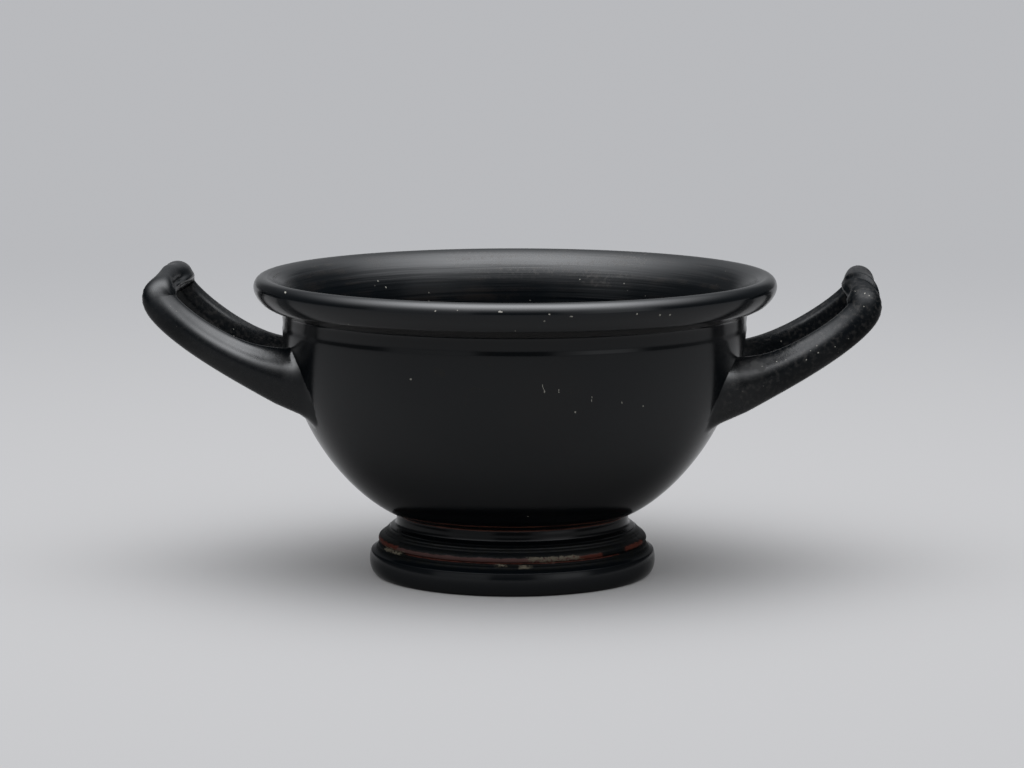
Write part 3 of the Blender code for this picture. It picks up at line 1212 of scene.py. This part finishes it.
@dataclass(frozen=True)
class GlossFinish:
    """Black gloss over red clay, with wear, what has settled on it, and painted light under the
    lip.
    """

    name: str = "black_gloss"
    black: Colour = (0.0011, 0.0016, 0.0021, 1.0)
    clay: Colour = (0.050, 0.018, 0.012, 1.0)
    red: Colour = (0.034, 0.0095, 0.0065, 1.0)
    worn: Colour = (0.0032, 0.0028, 0.0027, 1.0)
    reserve: Colour = (0.040, 0.022, 0.020, 1.0)
    lime: Colour = (0.058, 0.051, 0.038, 1.0)
    dirt: Colour = (0.0021, 0.0022, 0.0016, 1.0)
    cloudy: Colour = (0.019, 0.0175, 0.016, 1.0)
    dust: Colour = (0.030, 0.028, 0.026, 1.0)
    # Painted light: a grey lighter than the slip, for the band under the lip.
    under_lip_painted_light: Colour = (0.017, 0.0165, 0.016, 1.0)
    speck: Colour = (0.13, 0.125, 0.11, 1.0)
    gloss: float = 0.17
    inner_gloss: float = 0.20
    handle_gloss: float = 0.27
    index: float = 1.33
    joints: tuple[Arc, ...] = (Arc(31.4, 16.6, 0.36, 0.12, 0.5),
                               Arc(34.9, 18.2, 0.42, 0.14, 0.7))
    bands: tuple[Arc, ...] = (Arc(36.3, 9.42, 0.60, 0.2, 0.9, -18.0, 57.0),)
    reds: tuple[Arc, ...] = (
        Arc(36.3, 9.45, 0.45, 0.2, 1.2, 34.0, 7.0),
        Arc(36.3, 9.55, 0.75, 0.2, 1.2, -72.0, 14.0), Arc(36.3, 9.7, 0.6, 0.2, 1.2, 65.0, 9.0),
        Arc(36.0, 8.75, 0.22, 0.12, 0.5, 0.0, 52.0))
    crusts: tuple[Arc, ...] = (
        Arc(36.3, 9.5, 0.72, 0.2, 1.3, 18.5, 11.5), Arc(36.4, 8.2, 0.5, 0.2, 1.2, -4.0, 2.0),
        Arc(36.5, 7.9, 0.45, 0.2, 1.2, 5.0, 2.2), Arc(36.2, 8.6, 0.6, 0.2, 1.4, -62.0, 8.0))
    # Painted light: the band under the lip that this grey lightens.
    painted_light_under_lip: tuple[Arc, ...] = (Arc(65.4, 72.9, 2.3, 0.8, 0.3),)
    clouds: tuple[Stroke, ...] = (
        Stroke((-14.0, 60.5, 78.5), (16.0, 60.5, 78.5), 6.0),
        Stroke((24.0, 55.0, 77.0), (34.0, 54.0, 79.5), 7.0))
    darks: tuple[Mark, ...] = (
        Mark(-19.2, 62.9, 1.0, (1.6, -0.8)), Mark(-10.9, 58.0, 0.32, (1.3, 0.6)),
        Mark(-9.6, 58.5, 0.22, (4.9, -0.3)), Mark(-11.6, 57.2, 0.22, (-0.4, -3.6)),
        Mark(14.2, 57.3, 0.3, (1.2, -0.1)), Mark(-6.0, 64.7, 0.4, (0.4, -0.2)),
        Mark(64.0, 59.6, 1.3, (1.9, -1.2)))
    scratches: tuple[Mark, ...] = (
        Mark(7.6, 59.6, 0.14, (0.6, -2.0)), Mark(11.8, 58.2, 0.12, (0.1, -0.8)),
        Mark(20.2, 55.9, 0.16, (0.1, -1.3)), Mark(27.9, 54.8, 0.14, (0.2, -1.1)),
        Mark(33.6, 52.5, 0.2, (0.2, -0.1)), Mark(-3.3, 79.2, 0.24, (0.6, 0.0)),
        Mark(14.6, 77.9, 0.22, (0.4, 0.0)), Mark(-59.1, 80.3, 0.34, (0.2, -0.1)))
    specks: tuple[Mark, ...] = (
        Mark(15.95, 52.0, 0.32), Mark(-25.95, 60.3, 0.36), Mark(4.15, 21.9, 0.22),
        Mark(-19.4, 79.1, 0.25), Mark(-13.85, 79.5, 0.22), Mark(0.75, 74.2, 0.28),
        Mark(8.05, 76.8, 0.3), Mark(9.3, 78.6, 0.33), Mark(31.5, 77.9, 0.33),
        Mark(37.5, 77.2, 0.36), Mark(40.1, 77.0, 0.31), Mark(-35.65, 72.3, 0.3, far=True),
        Mark(-37.85, 74.1, 0.3, far=True), Mark(19.25, 73.55, 0.27, far=True))
    handle_specks: tuple[Mark, ...] = (
        Mark(93.55, 77.9, 0.22), Mark(94.55, 77.2, 0.19), Mark(91.05, 78.2, 0.18),
        Mark(93.05, 74.5, 0.18), Mark(77.65, 60.8, 0.23), Mark(80.85, 62.6, 0.25),
        Mark(72.35, 60.7, 0.19), Mark(85.35, 64.1, 0.18), Mark(73.55, 61.2, 0.21, far=True),
        Mark(66.05, 59.1, 0.21), Mark(80.55, 64.4, 0.19), Mark(-88.65, 73.4, 0.15))
    # How much the surface mirrors. Each soft step has a start and an end, and the shares
    # there. Edges go by how far the surface turns away, the others by height or by x.
    rim_light: Span = (70.0, 73.0, 0.0, 0.09)
    bowl_edges: Span = (0.22, 0.68, 0.5, 0.14)
    foot_edges: Span = (0.15, 0.62, 0.5, 0.10)
    bowl_from: Span = (28.0, 42.0)
    mouth_high: Span = (70.5, 77.5, 0.20, 0.40)
    mouth_right: Span = (8.0, 26.0, 0.0, 0.40)
    mouth_low: Span = (52.0, 66.0, 0.40, 0.0)
    mouth_edges: Span = (0.45, 0.75, 1.0, 0.6)
    mouth_left: Span = (-52.0, -40.0, 0.5, 1.0)
    crest_from: Span = (76.5, 79.5)
    moulding_zone: tuple[Span, ...] = ((5.6, 6.4), (16.5, 17.8, 1.0, 0.0),
                                       (9.8, 11.2, 0.88, 0.36))
    handle_dulling: tuple[Span, ...] = (
        (60.0, 74.0, 1.0, 0.50), (83.0, 91.0, 1.0, 0.42), (-80.0, -90.0, 1.0, 0.62),
        (-94.5, -99.0, 1.0, 0.6))
    # Where the foot is dirty, and where the handles are dull.
    ledge_zone: tuple[Span, ...] = ((6.6, 7.4), (11.8, 13.4, 1.0, 0.0))
    ledge_radius: Span = (32.5, 33.5)
    dull_right: Span = (-20.0, 60.0, 0.25, 1.0)
    dull_back: Span = (0.0, 8.0)
    bump_distance: float = 0.12
    broad: Grain = Grain(28.0, 3.0)
    middle: Grain = Grain(150.0, 3.0)
    fine: Grain = Grain(520.0, 4.0)
    patches: Grain = Grain(900.0, 4.0)
    sand: Grain = Grain(1500.0, 2.0)
    jumble: Grain = Grain(1100.0, 2.0)
    wander: float = 0.7
    streaks: WheelMarks = WheelMarks(1.3, 900.0, 4.0, 2.0)
    ridges: WheelMarks = WheelMarks(0.6, 330.0, 2.0, 9.0)
    small_specks: Scatter = Scatter(190.0, 0.10, 0.22)
    many_specks: Scatter = Scatter(800.0, 0.10, 0.17)
    grit: Scatter = Scatter(430.0, 0.16, 0.24)
    # How much of the slip each thing hides.
    brown_share: float = 0.4
    cloud_share: float = 0.75
    dust_share: float = 0.30
    grime_share: float = 0.7
    band_share: float = 0.9
    dark_share: float = 0.7
    scatter_share: float = 0.9
    # How much rougher it makes the surface. A pair holds what counts everywhere and what
    # is added inside; the matt shares are shares of matt_rough.
    worn_rough: float = 0.10
    cloud_rough: float = 0.25
    handle_rough: float = 0.06
    streak_rough: Pair = (0.06, 0.34)
    matt_rough: float = 0.35
    ledge_matt: float = 0.75
    dark_matt: float = 0.55
    # How high it stands, as shares of the bump's distance.
    ridge_bump: Pair = (0.22, 0.9)
    streak_bump: float = 0.85
    handle_bump: float = 0.5
    fine_bump: float = 0.03
    dull_bump: float = 0.22
    ledge_bump: float = 0.9
    crust_bump: float = 0.7
    # Where on its noise each effect starts, and where it is full.
    brown_from: Span = (0.5, 0.75)
    mottle_from: Span = (0.42, 0.72)
    patches_from: Span = (0.46, 0.72)
    worn_from: Span = (0.42, 0.62)
    cloud_from: Span = (0.38, 0.60)
    grime_from: Span = (0.40, 0.62)
    crust_from: Span = (0.36, 0.52)
    joint_from: Span = (0.2, 0.5)
    specks_inside: Span = (0.48, 0.56, 0.0, 0.6)

    def paint(self, material: bpy.types.Material, cup: bpy.types.Object) -> None:
        """Paints the gloss.

        Args:
            material: the material that the cup already wears.
            cup: the finished piece that the marks are laid on.
        """
        board = Board.cleared(material)
        place = board.value("ShaderNodeTexCoord", out="Object")
        x, y, z = (part / MM for part in board.parts(place))
        handle, inside = (board.value("ShaderNodeAttribute", out="Fac", attribute_name=name)
                          for name in ("handle", "inside"))
        outside = 1.0 - inside

        broad, middle, fine, sand, patches = (
            board.value("ShaderNodeTexNoise", {"Vector": place, "Scale": grain.scale,
                                               "Detail": grain.detail})
            for grain in (self.broad, self.middle, self.fine, self.sand, self.patches))
        wheel, specks = wheel_group(), speck_group()
        streaks, ridges = (
            board.group(wheel, Place=place, Around=marks.around, Across=marks.across,
                        Detail=marks.detail, Seed=marks.seed)
            for marks in (self.streaks, self.ridges))
        small, many, grit = (
            board.group(specks, Place=place, Cells=scatter.cells, Share=scatter.share,
                        Size=scatter.size * MM)
            for scatter in (self.small_specks, self.many_specks, self.grit))
        arc = self.arcs(board, place, fine - 0.5)
        stroke = self.strokes(board, place)

        # Base slip: even outside, streaked by the wheel inside, dull on the handles.
        mottle = middle.step(*self.mottle_from)
        patchy = patches.step(*self.patches_from)
        worn = inside * mottle * streaks.step(*self.worn_from)
        dull = handle * highest(x.step(*self.dull_right), y.step(*self.dull_back))
        cloud = stroke(self.clouds) * patchy * streaks.step(*self.cloud_from)

        # The foot's fine steps are matt with dirt; bands of clay show through.
        low, high = self.ledge_zone
        foot = z.step(*low) * z.step(*high) * length(x, y).step(*self.ledge_radius)
        crust = arc(self.crusts) * sand.step(*self.crust_from)

        # Marks and specks.
        dark = stroke([mark.laid(cup) for mark in self.darks])
        tick = stroke([mark.laid(cup) for mark in (*self.scratches, *self.specks,
                                                   *self.handle_specks)])
        inner_specks = inside * broad.step(*self.specks_inside)
        many = highest(many, grit) * highest(dull, inner_specks)
        pale = highest(tick, highest(small, many) * self.scatter_share)

        colour = board.blend(broad.step(*self.brown_from) * self.brown_share, self.black,
                             self.worn)
        for share, coat in (
                (worn, self.worn), (cloud * self.cloud_share, self.cloudy),
                (dull * patchy * self.dust_share, self.dust),
                (foot * fine.step(*self.grime_from) * self.grime_share, self.dirt),
                # painted light: the lighter band under the lip
                (arc(self.painted_light_under_lip), self.under_lip_painted_light),
                (arc(self.joints) * middle.step(*self.joint_from), self.clay),
                (arc(self.bands) * self.band_share, self.reserve),
                (arc(self.reds), self.red), (crust, self.lime),
                (dark * self.dark_share, self.dirt), (pale, self.speck)):
            colour = board.blend(share, colour, coat)

        matt = highest(foot * self.ledge_matt, crust, pale, dark * self.dark_matt)
        streaked, more_inside = self.streak_rough
        rough = (inside * (self.inner_gloss - self.gloss) + self.gloss
                 + handle * (self.handle_gloss - self.gloss)
                 + worn * self.worn_rough + cloud * self.cloud_rough
                 + dull * mottle * self.handle_rough
                 + (streaks - 0.5) * (inside * more_inside + streaked)
                 + matt * self.matt_rough)
        ridged, more_inside = self.ridge_bump
        height = (ridges * (inside * more_inside + ridged)
                  + streaks * inside * self.streak_bump
                  + middle * handle * self.handle_bump
                  + fine * (dull * self.dull_bump + foot * self.ledge_bump + self.fine_bump)
                  + sand * crust * self.crust_bump)
        bump = board.value("ShaderNodeBump", {"Strength": 1.0, "Height": height,
                                              "Distance": self.bump_distance * MM})
        shader = board.value("ShaderNodeBsdfPrincipled", {
            "Base Color": colour, "Roughness": rough, "IOR": self.index,
            "Specular IOR Level": self.mirroring(board, x, z, inside, outside),
            "Normal": bump})
        board.node("ShaderNodeOutputMaterial", {"Surface": shader})

    def mirroring(self, board: Board, x: Value, z: Value, inside: Value,
                  outside: Value) -> Value:
        """How much the surface mirrors. Old gloss mirrors less than glass at its edges.

        Args:
            board: the material's nodes.
            x: how far to the right the shaded point is, in millimetres.
            z: how high it is.
            inside: 1 inside the mouth.
            outside: 1 outside it.

        Returns:
            The specular level.
        """
        turned = board.value("ShaderNodeLayerWeight", {"Blend": 0.5}, out="Facing")
        upper = z.step(*self.bowl_from)
        without = (turned.step(*self.bowl_edges) * upper
                   + turned.step(*self.foot_edges) * (1.0 - upper)
                   + z.step(*self.rim_light))
        within = highest(z.step(*self.mouth_high), x.step(*self.mouth_right),
                         z.step(*self.mouth_low)) * turned.step(*self.mouth_edges)
        within = within * highest(x.step(*self.mouth_left), z.step(*self.crest_from))
        mouldings = outside
        for span in self.moulding_zone:
            mouldings = mouldings * z.step(*span)
        shine = (without * outside + within * inside) * (1.0 - mouldings)
        for span in self.handle_dulling:
            shine = shine * x.step(*span)
        return shine

    def arcs(self, board: Board, place: Value, stray: Value
             ) -> Callable[[Sequence[Arc]], Value]:
        """Makes the way to paint arcs.

        Args:
            board: the material's nodes.
            place: where the shaded point is.
            stray: noise about 0 that frays their edges.

        Returns:
            A function from arcs to one mask.
        """
        group = ring_mark_group()

        def painted(arc: Arc) -> Value:
            """The mask of one arc; a whole ring reaches past its own end."""
            bearing = math.radians(arc.bearing)
            whole = arc.half_angle >= 180.0
            return board.group(
                group, Place=place, Radius=arc.radius * MM, Height=arc.height * MM,
                Half_width=arc.half_width * MM, Softness=arc.softness * MM,
                Stray=stray * (arc.ragged * MM),
                Toward=(math.sin(bearing), -math.cos(bearing), 0.0),
                Reach=9.0 if whole else math.radians(arc.half_angle))

        return lambda arcs: highest(*(painted(arc) for arc in arcs))

    def strokes(self, board: Board, place: Value) -> Callable[[Sequence[Stroke]], Value]:
        """Makes the way to paint strokes.

        Args:
            board: the material's nodes.
            place: where the shaded point is.

        Returns:
            A function from strokes to one mask.
        """
        group = stroke_group()
        jumble = board.value("ShaderNodeTexNoise", {
            "Vector": place, "Scale": self.jumble.scale, "Detail": self.jumble.detail},
                             out="Color")
        strayed = jumble.vector("SUBTRACT", (0.5,) * 3).vector(
            "MULTIPLY_ADD", (self.wander * MM,) * 3, place)

        def painted(mark: Stroke) -> Value:
            """The mask of one stroke."""
            start, end = (tuple(v * MM for v in spot) for spot in (mark.start, mark.end))
            return board.group(group, Place=strayed, Start=start, End=end,
                               Half_width=mark.half_width * MM)

        return lambda strokes: highest(*(painted(mark) for mark in strokes))


# The cup


@dataclass
class Skyphos:
    """The whole cup: one fired piece of clay."""

    body: ThrownBody = field(default_factory=ThrownBody)
    handles: tuple[Horseshoe, ...] = field(
        default_factory=lambda: (left_horseshoe(), right_horseshoe()))
    finish: GlossFinish = field(default_factory=GlossFinish)
    crease_degrees: float = 40.0
    neck_margin: float = 2.0
    rim_margin: float = 1.0
    root_gap: float = 0.3
    root_fade: float = 2.0
    handles_from: float = 35.0
    lip_start: float = 1.0
    lip_fade: float = 4.5
    floor_margin: float = 0.5

    def build(self) -> bpy.types.Object:
        """Throws the body, fixes the handles and dresses the cup.

        Returns:
            The finished piece, riding on its body.
        """
        gloss = bpy.data.materials.new(self.finish.name)
        line = self.body.outer_line()
        cup = self.body.build(gloss)
        shapes = [handle.build(line, gloss) for handle in self.handles]
        for shape in shapes:
            join = cup.modifiers.new(shape.name, "BOOLEAN")
            join.operation = "UNION"
            join.solver = "MANIFOLD"
            join.object = shape
        cup.name = "skyphos"
        cup = made_plain(cup)
        for shape in shapes:
            bpy.data.objects.remove(shape, do_unlink=True)
        self.mark_zones(cup.data, line)
        bpy.context.view_layer.update()
        self.finish.paint(gloss, cup)
        cup.data.shade_smooth()
        cup.data.set_sharp_from_angle(angle=math.radians(self.crease_degrees))
        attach(cup, BODY)
        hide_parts(NODE)
        log.info("skyphos: %d faces, %d open edges", len(cup.data.polygons),
                 self.open_edges(cup.data))
        return cup

    def mark_zones(self, mesh: bpy.types.Mesh, line: Line) -> None:
        """Writes, for the material, how far each point is on a handle or inside the bowl.

        Args:
            mesh: the cup's mesh.
            line: the body's outer line.
        """
        places = np.zeros(len(mesh.vertices) * 3)
        mesh.vertices.foreach_get("co", places)
        places = places.reshape(-1, 3) / MM
        reach, height = np.hypot(places[:, 0], places[:, 1]), places[:, 2]
        bowl, rim = self.body.bowl, self.body.rim
        neck = bowl.step_height + self.neck_margin
        outer = np.interp(height, *line)
        wall = np.where(height > neck, rim.radius + self.rim_margin, outer)
        handle = np.clip((reach - wall - self.root_gap) / self.root_fade, 0.0, 1.0)
        handle[height < self.handles_from] = 0.0
        half_wall = bowl.wall / 2.0
        throat, crest = outer - half_wall, rim.radius - rim.crest_inset - half_wall
        lip = (height - bowl.step_height - rim.neck_height - self.lip_start) / self.lip_fade
        inner = throat + (crest - throat) * np.clip(lip, 0.0, 1.0)
        inside = np.clip((inner - reach) / half_wall + 0.5, 0.0, 1.0)
        inside[height < bowl.floor_height - self.floor_margin] = 0.0
        for name, values in (("handle", handle), ("inside", inside)):
            mesh.attributes.new(name, "FLOAT", "POINT").data.foreach_set(
                "value", values.astype(np.float32))

    @staticmethod
    def open_edges(mesh: bpy.types.Mesh) -> int:
        """Counts edges that don't join exactly two faces.

        Args:
            mesh: the mesh.

        Returns:
            How many there are.
        """
        work = bmesh.new()
        work.from_mesh(mesh)
        count = sum(1 for e in work.edges if not e.is_manifold)
        work.free()
        return count


# The studio


@dataclass
class Studio:
    """A pale floor without an end, painted brighter near the cup, light from a wide soft sky, and
    the camera.
    """

    floor_radius: float = 30.0
    # Painted pool of light: the floor is coloured brighter near the cup than far out.
    lit_pool_floor: Colour = (0.1286, 0.1277, 0.1272, 1.0)
    floor_past_pool: Colour = (0.103, 0.103, 0.104, 1.0)
    seen_sky: Colour = (0.50, 0.50, 0.515, 1.0)
    light_colour: Colour = (0.985, 1.0, 1.03, 1.0)
    lamp: float = 12.8
    lamp_rise: float = 80.0
    lamp_spread: Pair = (31.0, 35.0)
    lamp_ends: Pair = (0.2, 1.0)
    corner: float = 0.6
    front: float = 0.50
    side: float = 0.08
    back: float = 0.35
    # Painted light: the glow lightens the floor's shadows, and the next span is where the painted
    # pool of light fades.
    floor_glow: float = 0.045
    light_pool_fade: Span = (0.05, 0.9)
    back_span: Span = (-0.98, -0.88)
    front_span: Span = (0.34, 0.50)
    dark_front: Span = (0.935, 0.96, 1.0, 0.04)
    corner_right: Span = (0.40, 0.62)
    corner_front: Span = (0.40, 0.60)
    corner_up: Span = (-0.1, 0.1)
    least_level: float = 0.001
    camera_distance: float = 1.0
    camera_height: float = 0.1902
    camera_tilt: float = 7.91
    focal_pixels: float = 3733.7
    photo_width: float = 1024.0
    sensor: float = 36.0
    camera_shift: float = -0.0003

    def build(self) -> None:
        """Sets up the floor, the light and the camera."""
        self.floor()
        self.light()
        self.camera()
        scene = bpy.context.scene
        scene.view_settings.view_transform = "Standard"
        scene.view_settings.look = "None"
        log.info("studio ready")

    def floor(self) -> None:
        """Lays the floor, painted brighter near the cup as a pool of light; it glows a little,
        painted light that lifts its shadows.
        """
        work = bmesh.new()
        bmesh.ops.create_circle(work, cap_ends=True, radius=self.floor_radius, segments=96)
        data = bpy.data.meshes.new("studio_floor")
        work.to_mesh(data)
        work.free()
        material = bpy.data.materials.new("pale_paper")
        board = Board.cleared(material)
        away = board.value("ShaderNodeTexCoord", out="Object").vector("LENGTH", out="Value")
        # Painted pool of light: brighter near the cup, duller far out.
        colour = board.blend(away.step(*self.light_pool_fade), self.lit_pool_floor, self.floor_past_pool)
        shader = board.value("ShaderNodeBsdfDiffuse", {"Color": colour})
        # Painted light: a glow that lifts the floor's shadows.
        glow = board.value("ShaderNodeEmission", {
            "Color": colour, "Strength": self.floor_glow / self.lit_pool_floor[0]})
        board.node("ShaderNodeOutputMaterial", {
            "Surface": board.value("ShaderNodeAddShader", {0: shader, 1: glow})})
        data.materials.append(material)
        floor = linked("studio_floor", data)

    def light(self) -> None:
        """Lights the studio from a wide soft box overhead and pale sweeps in front and behind."""
        world = bpy.data.worlds.new("studio_light")
        bpy.context.scene.world = world
        board = Board.cleared(world)
        x, y, z = board.parts(board.value("ShaderNodeTexCoord", out="Generated"))
        front = -y / highest(length(x, y), self.least_level)
        # A wide soft box overhead, a little towards the viewer.
        off = z.math("ARCTAN2", -y).math("DEGREES") - self.lamp_rise
        near, beyond = self.lamp_spread
        off = off / (off.math("GREATER_THAN", 0.0) * (beyond - near) + near)
        core = (-(off * off)).math("EXPONENT") * x.math("ABSOLUTE").step(
            *self.lamp_ends, 1.0, 0.0)
        # Low down: pale in front to both sides, dark at the sides and at the camera.
        low = front.step(*self.back_span, self.back, self.side)
        low = low + front.step(*self.front_span, 0.0, self.front - self.side)
        low = low * front.step(*self.dark_front)
        corner = (x.step(*self.corner_right) * front.step(*self.corner_front)
                  * z.step(*self.corner_up))
        strength = core * self.lamp + low + corner * self.corner
        lamp = board.value("ShaderNodeBackground", {"Color": self.light_colour,
                                                    "Strength": strength})
        seen = board.value("ShaderNodeBackground", {"Color": self.seen_sky, "Strength": 1.0})
        to_camera = board.value("ShaderNodeLightPath", out="Is Camera Ray")
        board.node("ShaderNodeOutputWorld", {
            "Surface": board.value("ShaderNodeMixShader", {0: to_camera, 1: lamp, 2: seen})})

    def camera(self) -> None:
        """Places the camera where the photograph was taken from."""
        data = bpy.data.cameras.new("camera")
        data.sensor_width = self.sensor
        data.lens = self.focal_pixels * self.sensor / self.photo_width
        data.shift_x = self.camera_shift
        data.clip_start = 0.01
        camera = linked("camera", data)
        camera.location = (0.0, -self.camera_distance, self.camera_height)
        camera.rotation_euler = (math.radians(90.0 - self.camera_tilt), 0.0, 0.0)
        bpy.context.scene.camera = camera


def main() -> None:
    """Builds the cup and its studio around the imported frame."""
    logging.basicConfig(level=logging.INFO, format="%(message)s")
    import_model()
    Skyphos().build()
    Studio().build()


if __name__ == "__main__":
    main()
